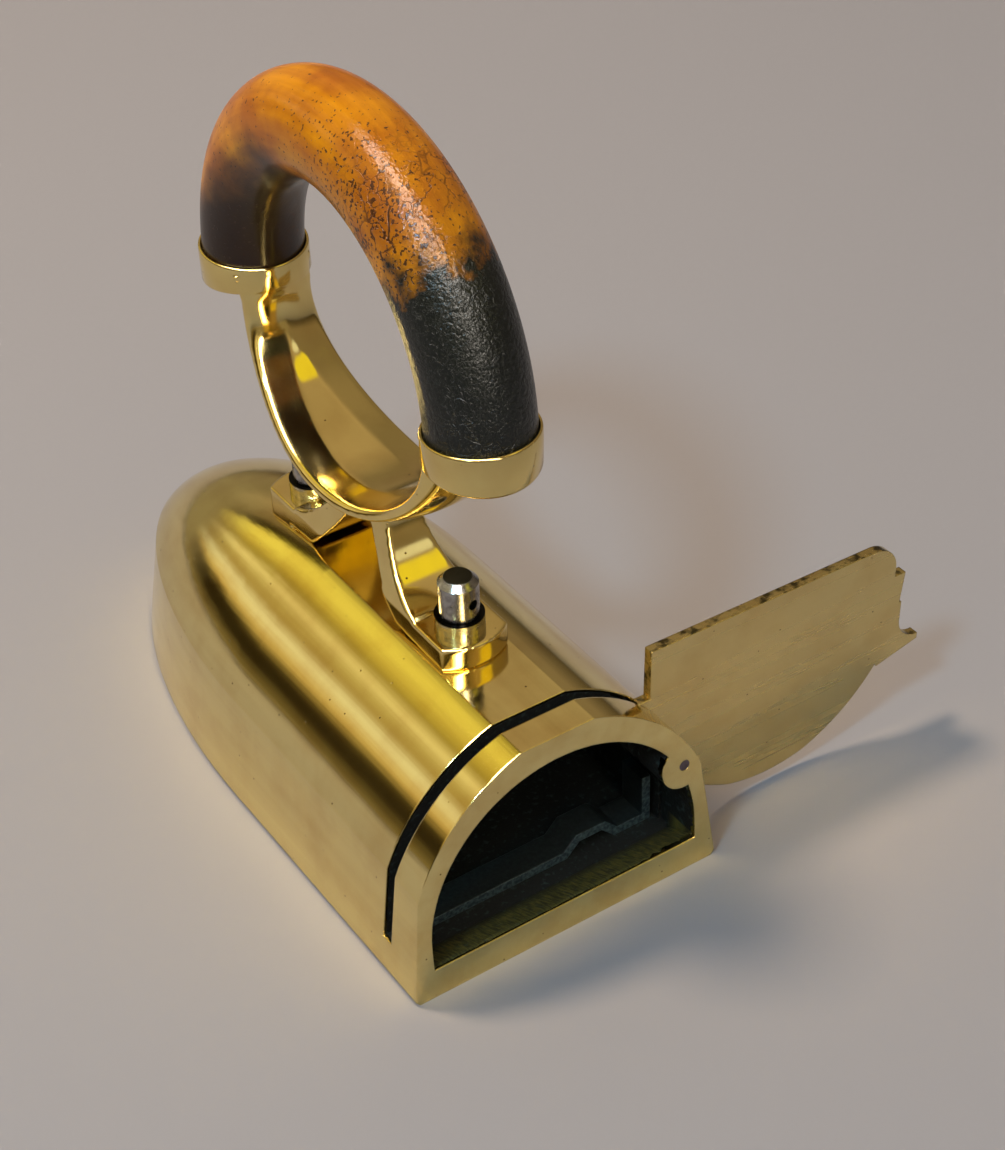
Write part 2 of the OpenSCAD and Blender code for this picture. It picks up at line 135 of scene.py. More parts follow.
def brass(name, tint, roughness, wave_mm, edge_mm=0.6, scratches_along=1, furrow_mm=0.01):
    """Brass that was cast or rolled, then buffed bright: a wavy mirror with fine lines and
    shallow furrows from the buffing wheel, small casting pits and a faint brown tarnish."""
    material, tree, shader, place = new_material(name)
    stretch = [1, 1, 1]
    stretch[scratches_along] = 0.03
    lines_at = add(tree, "VectorMath", {0: place, 1: stretch}, operation="MULTIPLY").outputs[0]
    lines = add(tree, "TexNoise", {"Vector": lines_at, "Scale": per(0.9), "Detail": 3}).outputs[0]
    bands = add(tree, "TexNoise", {"Vector": lines_at, "Scale": per(5), "Detail": 3}).outputs[0]
    waves = add(tree, "TexNoise", {"Vector": place, "Scale": per(wave_mm), "Detail": 1}).outputs[0]
    tarnish = add(tree, "TexNoise", {"Vector": place, "Scale": per(14), "Detail": 6}).outputs[0]
    tarnish = add(tree, "MapRange", {"Value": tarnish, 1: 0.45, 2: 0.75, 3: 0, 4: 0.45}).outputs[0]
    grains = add(tree, "TexVoronoi", {"Vector": place, "Scale": per(5)})
    pit = add(tree, "MapRange", {"Value": grains.outputs["Distance"], 1: 0.03, 2: 0.06, 3: 0, 4: 1})
    tone = add(tree, "Mix", {0: tarnish, 6: colour(tint), 7: colour("#C9A765")}, data_type="RGBA").outputs[2]
    streaks = add(tree, "MapRange", {"Value": bands, 1: 0.4, 2: 0.65, 3: 0, 4: furrow_mm * 2}).outputs[0]
    tone = add(tree, "Mix", {0: streaks, 6: tone, 7: colour("#A87F2E")}, data_type="RGBA").outputs[2]
    tone = add(tree, "Mix", {0: pit.outputs[0], 6: colour("#6B4B1E"), 7: tone}, data_type="RGBA").outputs[2]
    rough = add(tree, "MapRange", {"Value": bands, 1: 0.3, 2: 0.7, 3: roughness * 0.75, 4: roughness * 1.4})
    edge = add(tree, "Bevel", {"Radius": edge_mm * MM}, samples=6).outputs[0]
    swell = add(tree, "Bump", {"Strength": 0.5, "Distance": 0.12 * MM, "Height": waves, "Normal": edge}).outputs[0]
    bands_in = add(tree, "Bump", {"Strength": 0.6, "Distance": furrow_mm * MM, "Height": bands,
                                  "Normal": swell}).outputs[0]
    lines_in = add(tree, "Bump", {"Strength": 0.4, "Distance": 0.004 * MM, "Height": lines, "Normal": bands_in})
    pits_in = add(tree, "Bump", {"Strength": 0.6, "Distance": 0.05 * MM, "Height": pit.outputs[0],
                                 "Normal": lines_in.outputs[0]}).outputs[0]
    shader.inputs["Metallic"].default_value = 1
    tree.links.new(tone, shader.inputs["Base Color"])
    tree.links.new(rough.outputs[0], shader.inputs["Roughness"])
    tree.links.new(pits_in, shader.inputs["Normal"])
    return material, tree, shader, place


def sooted_body():
    """The body's brass. Under its outer surface, in the chamber and the slot, the brass is
    black with soot and scale, with a few teal-grey specks. The ramp behind the lip is rubbed
    by the slug, so filed olive-brown metal shows through."""
    material, tree, polished, place = brass("buffed_cast_brass", "#E9D693", 0.1, 26, furrow_mm=0.07)
    depth = depth_inside_body(tree, place)
    x, y, z = add(tree, "SeparateXYZ", {0: place}).outputs
    # The slug has chipped the mouth's edge bright on the right
    knocks = add(tree, "TexNoise", {"Vector": place, "Scale": per(2.2), "Detail": 3}).outputs[0]
    knocks = add(tree, "MapRange", {"Value": knocks, 1: 0.36, 2: 0.56, 3: 0.2 * MM, 4: 1.7 * MM}).outputs[0]
    knocked = add(tree, "MapRange", {"Value": x, 1: 22 * MM, 2: 31 * MM, 3: 0.15, 4: 1}).outputs[0]
    chip = add(tree, "Math", {0: knocks, 1: knocked}, operation="MULTIPLY").outputs[0]
    depth = add(tree, "Math", {0: depth, 1: chip}, operation="SUBTRACT").outputs[0]
    within = add(tree, "MapRange", {"Value": depth, 1: 0.4 * MM, 2: 0.6 * MM, 3: 0, 4: 1}).outputs[0]
    specks = add(tree, "TexNoise", {"Vector": place, "Scale": per(1.6), "Detail": 4}).outputs[0]
    specks = add(tree, "MapRange", {"Value": specks, 1: 0.56, 2: 0.7, 3: 0, 4: 1}).outputs[0]
    black = add(tree, "Mix", {0: specks, 6: colour("#0B0C0A"), 7: colour("#25302D")}, data_type="RGBA").outputs[2]
    filed_at = add(tree, "VectorMath", {0: place, 1: (1, 0.12, 0.12)}, operation="MULTIPLY").outputs[0]
    filed = add(tree, "TexNoise", {"Vector": filed_at, "Scale": per(0.5), "Detail": 3}).outputs[0]
    filed = add(tree, "MapRange", {"Value": filed, 1: 0.35, 2: 0.65, 3: 0.15, 4: 0.9}).outputs[0]
    ramp = add(tree, "MapRange", {"Value": z, 1: 9.2 * MM, 2: 8.7 * MM, 3: 0, 4: 1}).outputs[0]
    rubbed = add(tree, "MapRange", {"Value": y, 1: -85.7 * MM, 2: -90 * MM, 3: 0, 4: 1}).outputs[0]
    ramp = add(tree, "Math", {0: ramp, 1: rubbed}, operation="MULTIPLY").outputs[0]
    ramp = add(tree, "Math", {0: ramp, 1: filed}, operation="MULTIPLY").outputs[0]
    black = add(tree, "Mix", {0: ramp, 6: black, 7: colour("#5E5624")}, data_type="RGBA").outputs[2]
    crust = add(tree, "TexNoise", {"Vector": place, "Scale": per(0.8), "Detail": 4}).outputs[0]
    crust = add(tree, "Bump", {"Strength": 0.7, "Distance": 0.2 * MM, "Height": crust}).outputs[0]
    soot = add(tree, "BsdfPrincipled", {"Base Color": black, "Roughness": 0.7, "Specular IOR Level": 0.2,
                                        "Normal": crust})
    both = add(tree, "MixShader", {0: within, 1: polished.outputs[0], 2: soot.outputs[0]})
    tree.links.new(both.outputs[0], tree.nodes["Material Output"].inputs["Surface"])
    return material


def rubbed_plate():
    """The gate's rolled brass plate: its two faces are rubbed to an even olive sheen by the
    slot, and its sawn edges keep dark tarnish in patches."""
    material, tree, shader, place = brass("rubbed_plate_brass", "#DFC98A", 0.26, 40, scratches_along=0)
    faces = add(tree, "NewGeometry").outputs["True Normal"]
    across = add(tree, "SeparateXYZ", {0: faces}).outputs[1]
    across = add(tree, "Math", {0: across}, operation="ABSOLUTE").outputs[0]
    on_edge = add(tree, "MapRange", {"Value": across, 1: 0.8, 2: 0.5, 3: 0, 4: 1}).outputs[0]
    patches = add(tree, "TexNoise", {"Vector": place, "Scale": per(2.5), "Detail": 4}).outputs[0]
    patches = add(tree, "MapRange", {"Value": patches, 1: 0.38, 2: 0.54, 3: 0.9, 4: 0.1}).outputs[0]
    dark = add(tree, "Math", {0: on_edge, 1: patches}, operation="MULTIPLY").outputs[0]
    plain = shader.inputs["Base Color"].links[0].from_socket
    tone = add(tree, "Mix", {0: dark, 6: plain, 7: colour("#2E2A18")}, data_type="RGBA").outputs[2]
    tree.links.new(tone, shader.inputs["Base Color"])
    return material


def steel(name, tint, roughness, ring_mm, top_z=None, joint_z=None):
    """Steel turned in a lathe and worn: fine rings round it, and brown-grey oxide in
    patches. A screw's flat top is coloured darker and rougher. The joint between a screw's
    head and its collar is painted black, as painted shade of the gap under the head."""
    material, tree, shader, place = new_material(name)
    z = add(tree, "SeparateXYZ", {0: place}).outputs[2]
    rings = add(tree, "Math", {0: z, 1: 2 * pi / (ring_mm * MM)}, operation="MULTIPLY").outputs[0]
    rings = add(tree, "Math", {0: rings}, operation="SINE").outputs[0]
    oxide = add(tree, "TexNoise", {"Vector": place, "Scale": per(2.2), "Detail": 5}).outputs[0]
    oxide = add(tree, "MapRange", {"Value": oxide, 1: 0.4, 2: 0.7, 3: 0, 4: 0.8}).outputs[0]
    tone = add(tree, "Mix", {0: oxide, 6: colour(tint), 7: colour("#5B5450")}, data_type="RGBA").outputs[2]
    rough = add(tree, "MapRange", {"Value": oxide, 1: 0, 2: 1, 3: roughness, 4: roughness + 0.2}).outputs[0]
    if top_z is not None:
        # The flat top is coloured darker and rougher
        top = add(tree, "MapRange", {"Value": z, 1: top_z - 0.3 * MM, 2: top_z - 0.1 * MM, 3: 0, 4: 1}).outputs[0]
        tone = add(tree, "Mix", {0: top, 6: tone, 7: colour("#3A382E")}, data_type="RGBA").outputs[2]
        rough = add(tree, "Math", {0: top, 1: 0.3, 2: rough}, operation="MULTIPLY_ADD").outputs[0]
    if joint_z is not None:
        # Painted shade: a black band at the joint, where the gap under the screw's head lies in shade
        from_joint = add(tree, "Math", {0: z, 1: joint_z}, operation="SUBTRACT").outputs[0]
        from_joint = add(tree, "Math", {0: from_joint}, operation="ABSOLUTE").outputs[0]
        painted_gap_shade = add(tree, "MapRange", {"Value": from_joint, 1: 0.15 * MM, 2: 0.35 * MM, 3: 1, 4: 0}).outputs[0]
        tone = add(tree, "Mix", {0: painted_gap_shade, 6: tone, 7: colour("#14120E")}, data_type="RGBA").outputs[2]
    turned = add(tree, "Bump", {"Strength": 0.3, "Distance": 0.01 * MM, "Height": rings}).outputs[0]
    shader.inputs["Metallic"].default_value = 1
    tree.links.new(tone, shader.inputs["Base Color"])
    tree.links.new(rough, shader.inputs["Roughness"])
    tree.links.new(turned, shader.inputs["Normal"])
    return material


def scaled_iron():
    """Wrought iron strip that has been hot many times: matt blue-black scale, pitted. Its
    faces turned away from the mouth are painted near black as painted shade; only the faces towards the mouth keep
    the grey scale."""
    material, tree, shader, place = new_material("heat_scaled_iron")
    scale = add(tree, "TexNoise", {"Vector": place, "Scale": per(1.1), "Detail": 5}).outputs[0]
    patches = add(tree, "MapRange", {"Value": scale, 1: 0.4, 2: 0.65, 3: 0, 4: 1}).outputs[0]
    tone = add(tree, "Mix", {0: patches, 6: colour("#2F3B3C"), 7: colour("#637574")}, data_type="RGBA").outputs[2]
    # Painted shade: faces that do not face the mouth are coloured near black
    faces = add(tree, "NewGeometry").outputs["True Normal"]
    ahead = add(tree, "SeparateXYZ", {0: faces}).outputs[1]
    painted_shade_off_mouth = add(tree, "MapRange", {"Value": ahead, 1: -0.8, 2: -0.5, 3: 0, 4: 0.9}).outputs[0]
    tone = add(tree, "Mix", {0: painted_shade_off_mouth, 6: tone, 7: colour("#0E1312")}, data_type="RGBA").outputs[2]
    worn = add(tree, "Bevel", {"Radius": 0.5 * MM}, samples=6).outputs[0]
    pitted = add(tree, "Bump", {"Strength": 0.5, "Distance": 0.1 * MM, "Height": scale, "Normal": worn}).outputs[0]
    shader.inputs["Metallic"].default_value = 0.3
    shader.inputs["Roughness"].default_value = 0.5
    tree.links.new(tone, shader.inputs["Base Color"])
    tree.links.new(pitted, shader.inputs["Normal"])
    return material


def varnished_wood():
    """Bent hardwood under old amber varnish. Heat has blackened it above the rear ferrule and
    browned it above the front one. The varnish has dark specks, and fine cracks at the
    edge of the burnt part."""
    material, tree, shader, place = new_material("varnished_bent_wood")
    x, y, z = add(tree, "SeparateXYZ", {0: place}).outputs
    back = add(tree, "Math", {0: GRIP_Y, 1: y}, operation="SUBTRACT").outputs[0]
    up = add(tree, "Math", {0: z, 1: GRIP_Z}, operation="SUBTRACT").outputs[0]
    up = add(tree, "Math", {0: up, 1: 1 / GRIP_STRETCH}, operation="MULTIPLY").outputs[0]
    angle = add(tree, "Math", {0: up, 1: back}, operation="ARCTAN2").outputs[0]
    turn = add(tree, "Math", {0: angle, 1: degrees(1)}, operation="MULTIPLY").outputs[0]
    spoke = add(tree, "CombineXYZ", {0: back, 1: up}).outputs[0]
    spoke = add(tree, "VectorMath", {0: spoke}, operation="LENGTH").outputs["Value"]
    along = add(tree, "Math", {0: angle, 1: GRIP_R * 0.08}, operation="MULTIPLY").outputs[0]
    grain_at = add(tree, "CombineXYZ", {0: x, 1: along, 2: spoke}).outputs[0]

    grain = add(tree, "TexNoise", {"Vector": grain_at, "Scale": per(2.5), "Detail": 5}).outputs[0]
    mottle = add(tree, "TexNoise", {"Vector": place, "Scale": per(16), "Detail": 5}).outputs[0]
    cloud = add(tree, "MapRange", {"Value": mottle, 1: 0.36, 2: 0.6, 3: 0, 4: 1}).outputs[0]
    amber = add(tree, "Mix", {0: grain, 6: colour("#B45E02"), 7: colour("#F09E04")}, data_type="RGBA").outputs[2]
    deep = add(tree, "Mix", {0: grain, 6: colour("#8E4402"), 7: colour("#CC7404")}, data_type="RGBA").outputs[2]
    amber = add(tree, "Mix", {0: cloud, 6: amber, 7: deep}, data_type="RGBA").outputs[2]

    ragged = add(tree, "TexNoise", {"Vector": place, "Scale": per(6), "Detail": 6}).outputs[0]
    ragged = add(tree, "Math", {0: ragged, 1: 30, 2: -15}, operation="MULTIPLY_ADD").outputs[0]
    edge = add(tree, "Math", {0: turn, 1: ragged}, operation="ADD").outputs[0]
    burnt = add(tree, "MapRange", {"Value": edge, 1: 40, 2: 49, 3: 1, 4: 0}).outputs[0]
    out = add(tree, "Math", {0: spoke, 1: GRIP_R}, operation="SUBTRACT").outputs[0]
    out = add(tree, "Math", {0: out, 1: 1 / WOOD_R}, operation="MULTIPLY").outputs[0]
    brown_to = add(tree, "MapRange", {"Value": turn, 1: 96, 2: 115, 3: -1.3, 4: -0.45}).outputs[0]
    brown_more = add(tree, "MapRange", {"Value": turn, 1: 143, 2: 173, 3: 0, 4: 1.3}).outputs[0]
    brown_to = add(tree, "Math", {0: brown_to, 1: brown_more}, operation="ADD").outputs[0]
    over = add(tree, "Math", {0: brown_to, 1: out}, operation="SUBTRACT").outputs[0]
    uneven = add(tree, "Math", {0: mottle, 1: 0.5}, operation="SUBTRACT").outputs[0]
    over = add(tree, "Math", {0: over, 1: uneven}, operation="ADD").outputs[0]
    amber_left = add(tree, "MapRange", {"Value": over, 1: -0.6, 2: 0.5, 3: 1, 4: 0}).outputs[0]
    amber_left = add(tree, "Math", {0: amber_left, 1: 2.2}, operation="POWER").outputs[0]
    browned = add(tree, "Math", {0: 1, 1: amber_left}, operation="SUBTRACT").outputs[0]
    # The grip's inner side towards the body is browned by heat and also painted darker as painted shade
    inner = add(tree, "MapRange", {"Value": out, 1: -0.95, 2: -0.5, 3: 0.8, 4: 0}).outputs[0]
    browned = add(tree, "Math", {0: browned, 1: inner}, operation="MAXIMUM").outputs[0]

    fine = add(tree, "TexNoise", {"Vector": place, "Scale": per(1), "Detail": 3}).outputs[0]
    crowd = add(tree, "MapRange", {"Value": turn, 1: 100, 2: 60, 3: 0.66, 4: 0.56}).outputs[0]
    sheltered = add(tree, "MapRange", {"Value": x, 1: -7 * MM, 2: 1 * MM, 3: 0, 4: 0.07}).outputs[0]
    crowd = add(tree, "Math", {0: crowd, 1: sheltered}, operation="ADD").outputs[0]
    over = add(tree, "Math", {0: fine, 1: crowd}, operation="SUBTRACT").outputs[0]
    specks = add(tree, "MapRange", {"Value": over, 1: 0, 2: 0.03, 3: 0, 4: 0.9}).outputs[0]
    bent = add(tree, "VectorMath", {0: ragged, 1: (4e-4,) * 3, 2: place}, operation="MULTIPLY_ADD").outputs[0]
    cells = add(tree, "TexVoronoi", {"Vector": bent, "Scale": per(5)}, feature="DISTANCE_TO_EDGE").outputs[0]
    crack = add(tree, "MapRange", {"Value": cells, 1: 0.02, 2: 0.06, 3: 1, 4: 0}).outputs[0]
    broken = add(tree, "MapRange", {"Value": mottle, 1: 0.44, 2: 0.56, 3: 0, 4: 1}).outputs[0]
    near = add(tree, "MapRange", {"Value": turn, 1: 78, 2: 54, 3: 0, 4: 1}).outputs[0]
    crack = add(tree, "Math", {0: crack, 1: near}, operation="MULTIPLY").outputs[0]
    crack = add(tree, "Math", {0: crack, 1: broken}, operation="MULTIPLY").outputs[0]
    marks = add(tree, "Math", {0: specks, 1: crack}, operation="MAXIMUM").outputs[0]

    tone = add(tree, "Mix", {0: browned, 6: amber, 7: colour("#251104")}, data_type="RGBA").outputs[2]
    tone = add(tree, "Mix", {0: marks, 6: tone, 7: colour("#331806")}, data_type="RGBA").outputs[2]
    tone = add(tree, "Mix", {0: burnt, 6: tone, 7: colour("#141510")}, data_type="RGBA").outputs[2]
    crazed = add(tree, "MapRange", {"Value": turn, 1: 90, 2: 60, 3: 0.15, 4: 1}).outputs[0]
    pitting = add(tree, "MapRange", {"Value": burnt, 1: 0, 2: 1, 3: crazed, 4: 2.6}).outputs[0]
    pitting = add(tree, "Math", {0: fine, 1: pitting}, operation="MULTIPLY").outputs[0]
    relief = add(tree, "Math", {0: marks, 1: -0.9, 2: pitting}, operation="MULTIPLY_ADD").outputs[0]
    pitted = add(tree, "Bump", {"Strength": 0.6, "Distance": 0.25 * MM, "Height": relief}).outputs[0]
    dents = add(tree, "Bump", {"Strength": 0.6, "Distance": 0.35 * MM, "Height": mottle, "Normal": pitted}).outputs[0]

    shader.inputs["Roughness"].default_value = 0.5
    shader.inputs["IOR"].default_value = 1.45
    shader.inputs["Specular IOR Level"].default_value = 0.15
    shader.inputs["Coat Weight"].default_value = 0.5
    shader.inputs["Coat Roughness"].default_value = 0.14
    tree.links.new(tone, shader.inputs["Base Color"])
    tree.links.new(dents, shader.inputs["Normal"])
    tree.links.new(dents, shader.inputs["Coat Normal"])
    return material


def cradle_station(half_turn):
    """One cross section of the cradle: its place on the inner curve, the way out from the
    hand's side, and a list of points, each a distance to the side and a depth. Half_turn runs
    from -1 at the front end to 1 at the rear end."""
    around = 96
    t = half_turn * pi / 2
    place = Vector((0, -CRADLE_A * sin(t), CRADLE_Z - CRADLE_B * cos(t)))
    out = Vector((0, -CRADLE_B * sin(t), -CRADLE_A * cos(t))).normalized()
    bulge = (CRADLE_W - CRADLE_END_W) / 2
    arc_r = (CRADLE_A ** 2 + bulge ** 2) / (2 * bulge)
    half_w = (arc_r ** 2 - place.y ** 2) ** 0.5 - arc_r + CRADLE_W / 2
    flat_w = 7 * MM * max(0, 1 - (abs(half_turn) / 0.8) ** 1.4)
    rim = 1.6 * MM
    chamfer = 0.17
    widest = chamfer * (half_w - flat_w) + rim
    roundness = max(0, (abs(half_turn) - 0.7) / 0.3)
    depth = max((5 + 4 * half_turn ** 2) * MM, widest + 2.2 * MM)
    section = []
    for k in range(around):
        turn = 2 * pi * k / around
        side, deep = half_w * sin(turn), cos(turn)
        if deep > 0:
            past = max(0, abs(side) - half_w + rim) / rim
            faceted = chamfer * max(0, abs(side) - flat_w) + rim * (1 - max(0, 1 - past ** 2) ** 0.5)
            n = faceted + (widest * (1 - deep) - faceted) * roundness
        else:
            n = widest - (depth - widest) * deep
        section.append((side, n))
    return place, out, section


def cradle_mesh(bm):
    """The cradle is an oval bar bent to a half round. Its inner side is filed to two slopes,
    with a flat face between them that opens in a V under each ferrule and is widest at the
    bottom. Each end runs up the ferrule's wall as a pad."""
    along = 72
    neck_top = 8 * MM
    rings = []
    for i in range(along + 1):
        place, out, section = cradle_station(-1 + 2 * i / along)
        rises = [0]
        if i in (0, along):
            rises = [neck_top * k / 16 for k in range(17)]
            if i == 0:
                rises.reverse()
        for rise in rises:
            share = rise / neck_top
            onto_wall = min(1, 2.2 * share)
            onto_wall *= onto_wall * (3 - 2 * onto_wall)
            ring = []
            for k, (side, n) in enumerate(section):
                wide = side * (1 + 0.15 * share)
                if onto_wall > 0 and cos(2 * pi * k / len(section)) > 0:
                    wall = FERRULE_R - (FERRULE_R ** 2 - wide ** 2) ** 0.5
                    wall -= WALL_GAP + 0.25 * MM * (1 - 2 * share ** 2)
                    n += (wall - n) * onto_wall
                spot = place + out * n + Vector((wide, GRIP_Y, rise))
                ring.append(bm.verts.new(spot))
            rings.append(ring)
    around = len(rings[0])
    for one, two in zip(rings, rings[1:]):
        for k in range(around):
            bm.faces.new((one[k], one[(k + 1) % around], two[(k + 1) % around], two[k]))
    bm.faces.new(rings[0])
    bm.faces.new(reversed(rings[-1]))


def legs_mesh(bm):
    """The construction's own feet and legs, cut off under the cradle and run up into it."""
    bm.from_mesh(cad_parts["handle_bracket"].data)
    bmesh.ops.remove_doubles(bm, verts=bm.verts, dist=1e-6)
    everything = bm.verts[:] + bm.edges[:] + bm.faces[:]
    bmesh.ops.bisect_plane(bm, geom=everything, plane_co=(0, 0, LEGS_TOP), plane_no=(0, 0, 1), clear_outer=True)
    rim = [e for e in bm.edges if e.is_boundary]
    cap = bmesh.ops.contextual_create(bm, geom=rim)["faces"]
    grown = bmesh.ops.extrude_face_region(bm, geom=cap)["geom"]
    bmesh.ops.translate(bm, vec=(0, 0, 3.1 * MM), verts=[v for v in grown if isinstance(v, bmesh.types.BMVert)])
    bmesh.ops.delete(bm, geom=cap, context="FACES_ONLY")


def ferrule_mesh(bm, mirrored):
    """A turned cup round the wood's end, bent with the grip, with softened rims."""
    profile = [
        (-FERRULE_ANGLE, 0), (-FERRULE_ANGLE, 12.8), (-6.5, 13.5), (-6.2, 13.9), (-5.7, 14.1),
        (0, 14.1), (2.7, 14.1), (3.1, 14), (RIM_ANGLE, 13.8), (3.25, 13.4), (2.9, 13.2), (0, 13), (-1, 0),
    ]
    around = 128
    rings = []
    for angle, radius in profile:
        t = radians(angle)
        middle = Vector((0, cos(t), sin(t)))
        ring = []
        for k in range(around):
            turn = 2 * pi * k / around
            spot = middle * (GRIP_R + radius * MM * cos(turn)) + Vector((radius * MM * sin(turn), 0, 0))
            y = -spot.y if mirrored else spot.y
            ring.append(bm.verts.new((spot.x, GRIP_Y + y, GRIP_Z + spot.z * GRIP_STRETCH)))
        rings.append(ring)
    for one, two in zip(rings, rings[1:]):
        for k in range(around):
            bm.faces.new((one[k], one[(k + 1) % around], two[(k + 1) % around], two[k]))
    bmesh.ops.remove_doubles(bm, verts=rings[0] + rings[-1], dist=1e-6)


def new_object(name, *builders):
    """An object whose mesh the builders make together, with all faces turned outwards."""
    mesh = bpy.data.meshes.new(name)
    for build in builders:
        bm = bmesh.new()
        build(bm)
        bmesh.ops.recalc_face_normals(bm, faces=bm.faces)
        part = bpy.data.meshes.new(name + "_part")
        bm.to_mesh(part)
        bm.free()
        both = bmesh.new()
        both.from_mesh(mesh)
        both.from_mesh(part)
        both.to_mesh(mesh)
        both.free()
        bpy.data.meshes.remove(part)
    thing = bpy.data.objects.new(name, mesh)
    bpy.context.scene.collection.objects.link(thing)
    return thing


def make_bracket(finish):
    """The cast bracket. Cradle and legs are fused and softened, as filing and buffing leave
    a casting, and the turned ferrules keep their crisp rims."""
    casting = new_object("bracket_casting", legs_mesh, cradle_mesh)
    fuse = casting.modifiers.new("fuse", "REMESH")
    fuse.mode = "VOXEL"
    fuse.voxel_size = 0.45 * MM
    fused = bpy.data.meshes.new_from_object(casting.evaluated_get(bpy.context.evaluated_depsgraph_get()))
    casting.modifiers.clear()
    casting.data = fused
    # The wheel rounds the legs more than the rest
    reached = casting.vertex_groups.new(name="reached")
    for v in fused.vertices:
        weight = 1 - max(LEGS_FOOT - v.co.z, v.co.z - LEGS_TOP, 0) / (2 * MM)
        if weight > 0:
            reached.add([v.index], weight, "REPLACE")
    for iterations, group in ((6, ""), (20, "reached")):
        buff = casting.modifiers.new("buff", "SMOOTH")
        buff.factor = 0.5
        buff.iterations = iterations
        buff.vertex_group = group
    fused = bpy.data.meshes.new_from_object(casting.evaluated_get(bpy.context.evaluated_depsgraph_get()))
    bpy.data.objects.remove(casting)
    bracket = new_object(
        "handle_bracket_look", lambda bm: bm.from_mesh(fused),
        lambda bm: ferrule_mesh(bm, False), lambda bm: ferrule_mesh(bm, True))
    bpy.data.meshes.remove(fused)
    bracket.data.shade_smooth()
    bracket.data.materials.append(finish)
    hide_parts("handle_bracket")
    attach(bracket, "iron")


def dress():
    """Gives each CAD piece its finish."""
    head_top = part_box("rear_screw")[1].z
    collar_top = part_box("rear_collar")[1].z
    cast = sooted_body()
    bracket = brass("buffed_bracket_brass", "#E9D28A", 0.1, 11, scratches_along=2)[0]
    plate = rubbed_plate()
    screw = steel("turned_screw_steel", "#A8A6A6", 0.16, 0.35, top_z=head_top, joint_z=collar_top)
    collar = steel("polished_collar_steel", "#C6C0B0", 0.14, 0.5, joint_z=collar_top)
    pin = steel("peened_pin_steel", "#6C6069", 0.4, 0.6)
    iron = scaled_iron()
    finishes = {
        "body_shell": cast, "gate": plate, "handle_bracket": bracket, "grip": varnished_wood(),
        "rear_screw": screw, "front_screw": screw, "rear_collar": collar, "front_collar": collar,
        "gate_pin": pin, "rear_slug_rest": iron, "front_slug_rest": iron,
    }
    for node, finish in finishes.items():
        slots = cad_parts[node].data.materials
        slots.clear()
        slots.append(finish)
    make_bracket(bracket)


def set_camera():
    """The photograph's own view. Its lens and place were fitted to the iron's edges."""
    sensor_mm = 36
    camera = bpy.data.cameras.new("camera")
    camera.lens = 73.13
    camera.sensor_width = sensor_mm
    camera.clip_start = 0.01
    yaw, pitch, roll = radians(32.702), radians(37.753), radians(-2.018)
    ahead = Vector((sin(yaw) * cos(pitch), cos(yaw) * cos(pitch), -sin(pitch)))
    level = Vector((cos(yaw), -sin(yaw), 0))
    upright = level.cross(ahead)
    right = level * cos(roll) + upright * sin(roll)
    up = upright * cos(roll) - level * sin(roll)
    holder = bpy.data.objects.new("camera", camera)
    turn = Matrix((right, up, -ahead)).transposed().to_4x4()
    holder.matrix_world = Matrix.Translation((-0.23155, -0.43303, 0.42721)) @ turn
    bpy.context.scene.collection.objects.link(holder)
    bpy.context.scene.camera = holder


def direction(azimuth, elevation):
    """A unit vector. Azimuth 0 lies ahead of the nose and 90 to the right."""
    a, e = radians(azimuth), radians(elevation)
    return Vector((sin(a) * cos(e), cos(a) * cos(e), sin(e)))


def add_lamp(name, azimuth, elevation, size, watts, tint, in_mirrors=True):
    """A soft box 1.6 m away that looks at the iron."""
    lamp = bpy.data.lights.new(name, "AREA")
    lamp.shape = "DISK"
    lamp.size = size
    lamp.energy = watts
    lamp.color = colour(tint)[:3]
    away = direction(azimuth, elevation)
    holder = bpy.data.objects.new(name, lamp)
    holder.location = away * 1.6 + Vector((0, 0, 0.06))
    holder.rotation_mode = "QUATERNION"
    holder.rotation_quaternion = away.to_track_quat("Z", "Y")
    holder.visible_glossy = in_mirrors
    bpy.context.scene.collection.objects.link(holder)


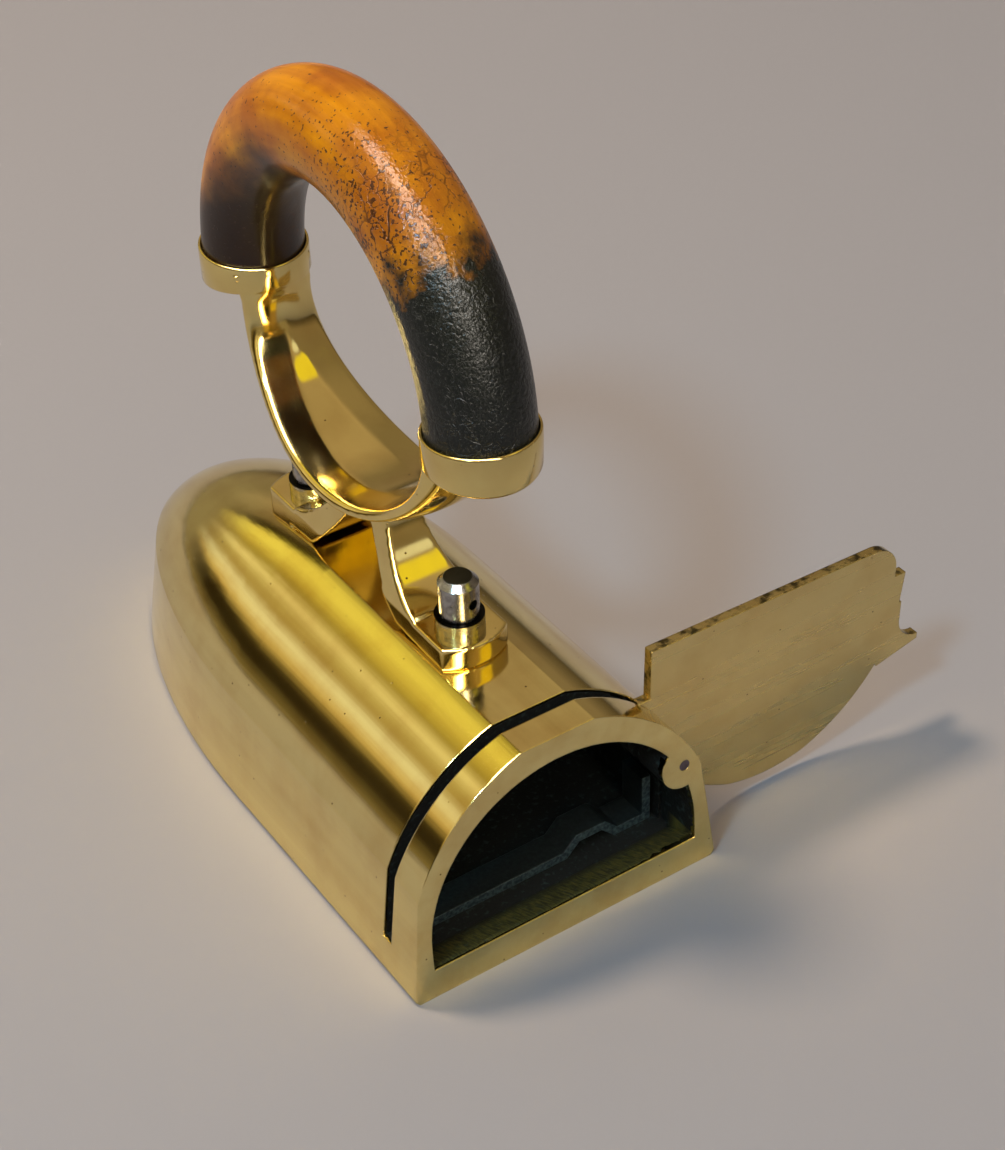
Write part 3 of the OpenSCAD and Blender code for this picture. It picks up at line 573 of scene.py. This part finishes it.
def light_room():
    """Two soft lamps in a plain room. What the polished brass mirrors is the room: long gold
    and cream strip lamps that run along the iron's left side, with brown wall between them,
    a darker skirting at the table's edge, and a few small lamps behind."""
    add_lamp("cool_box", -119, 50, 0.22, 9, "#A8DCFF")
    add_lamp("warm_box", -33, 67, 0.3, 17, "#FFE8C6", in_mirrors=False)
    world = bpy.data.worlds.new("room")
    bpy.context.scene.world = world
    world.use_nodes = True
    tree = world.node_tree
    way = add(tree, "TexCoord").outputs["Generated"]
    x, y, z = add(tree, "SeparateXYZ", {0: way}).outputs
    # Each strip is a range of angles from straight up, less than zero on the left
    lean = add(tree, "Math", {0: x, 1: z}, operation="ARCTAN2").outputs[0]
    lean = add(tree, "Math", {0: lean, 1: degrees(1)}, operation="MULTIPLY").outputs[0]
    strips = [
        (-91, "#8A7A52"), (-81, "#2C230F"), (-72, "#2C230F"), (-65, "#E2C67E"), (-56, "#FFFBE0"), (-49, "#B9A262"), (-43, "#CDBB7C"),
        (-37, "#FFF2BC"), (-30, "#AE9A4A"), (-24, "#D8C25E"), (-17, "#FFF07A"), (-11, "#FFF07A"), (-7, "#332810"),
        (-3, "#332810"), (4, "#8A7A5C"), (28, "#B9A688"), (45, "#857861"), (75, "#8A7A62"), (92, "#3E3420"),
    ]
    seen = colour(strips[0][1])
    for (start, _), (end, tint) in zip(strips, strips[1:]):
        step = add(tree, "MapRange", {"Value": lean, 1: start, 2: end, 3: 0, 4: 1}).outputs[0]
        seen = add(tree, "Mix", {0: step, 6: seen, 7: colour(tint)}, data_type="RGBA").outputs[2]
    aside = add(tree, "CombineXYZ", {0: x, 1: z}).outputs[0]
    aside = add(tree, "VectorMath", {0: aside}, operation="LENGTH").outputs["Value"]
    aside = add(tree, "MapRange", {"Value": aside, 1: 0.2, 2: 0.45, 3: 0, 4: 1}).outputs[0]
    seen = add(tree, "Mix", {0: aside, 6: colour("#968A6E"), 7: seen}, data_type="RGBA").outputs[2]
    small_lamps = [(141, 46, 9, 13, "#FFF04A"), (154, 29, 4, 7, "#F5F5E8")]
    for azimuth, elevation, inner, outer, tint in small_lamps:
        centre = direction(azimuth, elevation)
        facing = add(tree, "VectorMath", {0: way, 1: centre}, operation="DOT_PRODUCT").outputs["Value"]
        lit = add(tree, "MapRange", {"Value": facing, 1: cos(radians(outer)), 2: cos(radians(inner)), 3: 0, 4: 1},
                  interpolation_type="SMOOTHSTEP").outputs[0]
        seen = add(tree, "Mix", {0: lit, 6: seen, 7: colour(tint)}, data_type="RGBA").outputs[2]
    # The tube of one strip lamp is bare beside and behind the iron: the wood's long highlight
    off_tube = add(tree, "Math", {0: lean, 1: 18}, operation="ADD").outputs[0]
    off_tube = add(tree, "Math", {0: off_tube}, operation="ABSOLUTE").outputs[0]
    tube = add(tree, "MapRange", {"Value": off_tube, 1: 9, 2: 4, 3: 0, 4: 1}).outputs[0]
    bare = add(tree, "MapRange", {"Value": y, 1: 0.45, 2: 0.25, 3: 0, 4: 1}).outputs[0]
    tube = add(tree, "Math", {0: tube, 1: bare}, operation="MULTIPLY").outputs[0]
    glare = [24 * c for c in colour("#FFF6EA")]
    seen = add(tree, "Mix", {0: tube, 6: seen, 7: glare}, data_type="RGBA").outputs[2]
    ray = add(tree, "LightPath")
    camera, glossy = ray.outputs["Is Camera Ray"], ray.outputs["Is Glossy Ray"]
    soft = add(tree, "Mix", {0: camera, 6: colour("#989CA3"), 7: colour("#A8A19F")}, data_type="RGBA").outputs[2]
    light = add(tree, "Mix", {0: glossy, 6: soft, 7: seen}, data_type="RGBA").outputs[2]
    tree.links.new(light, tree.nodes["Background"].inputs["Color"])


def lay_floor():
    """A plain pale cloth-covered table, wide enough to fill every view from above."""
    material, tree, shader, place = new_material("plain_floor")
    shader.inputs["Base Color"].default_value = colour("#A8A19F")
    shader.inputs["Roughness"].default_value = 0.95
    shader.inputs["Specular IOR Level"].default_value = 0.1
    half = 3
    mesh = bpy.data.meshes.new("floor")
    mesh.from_pydata([(-half, -half, 0), (half, -half, 0), (half, half, 0), (-half, half, 0)], [], [(0, 1, 2, 3)])
    mesh.materials.append(material)
    floor = bpy.data.objects.new("floor", mesh)
    bpy.context.scene.collection.objects.link(floor)


dress()
set_camera()
light_room()
lay_floor()
bpy.context.scene.view_settings.view_transform = "Standard"
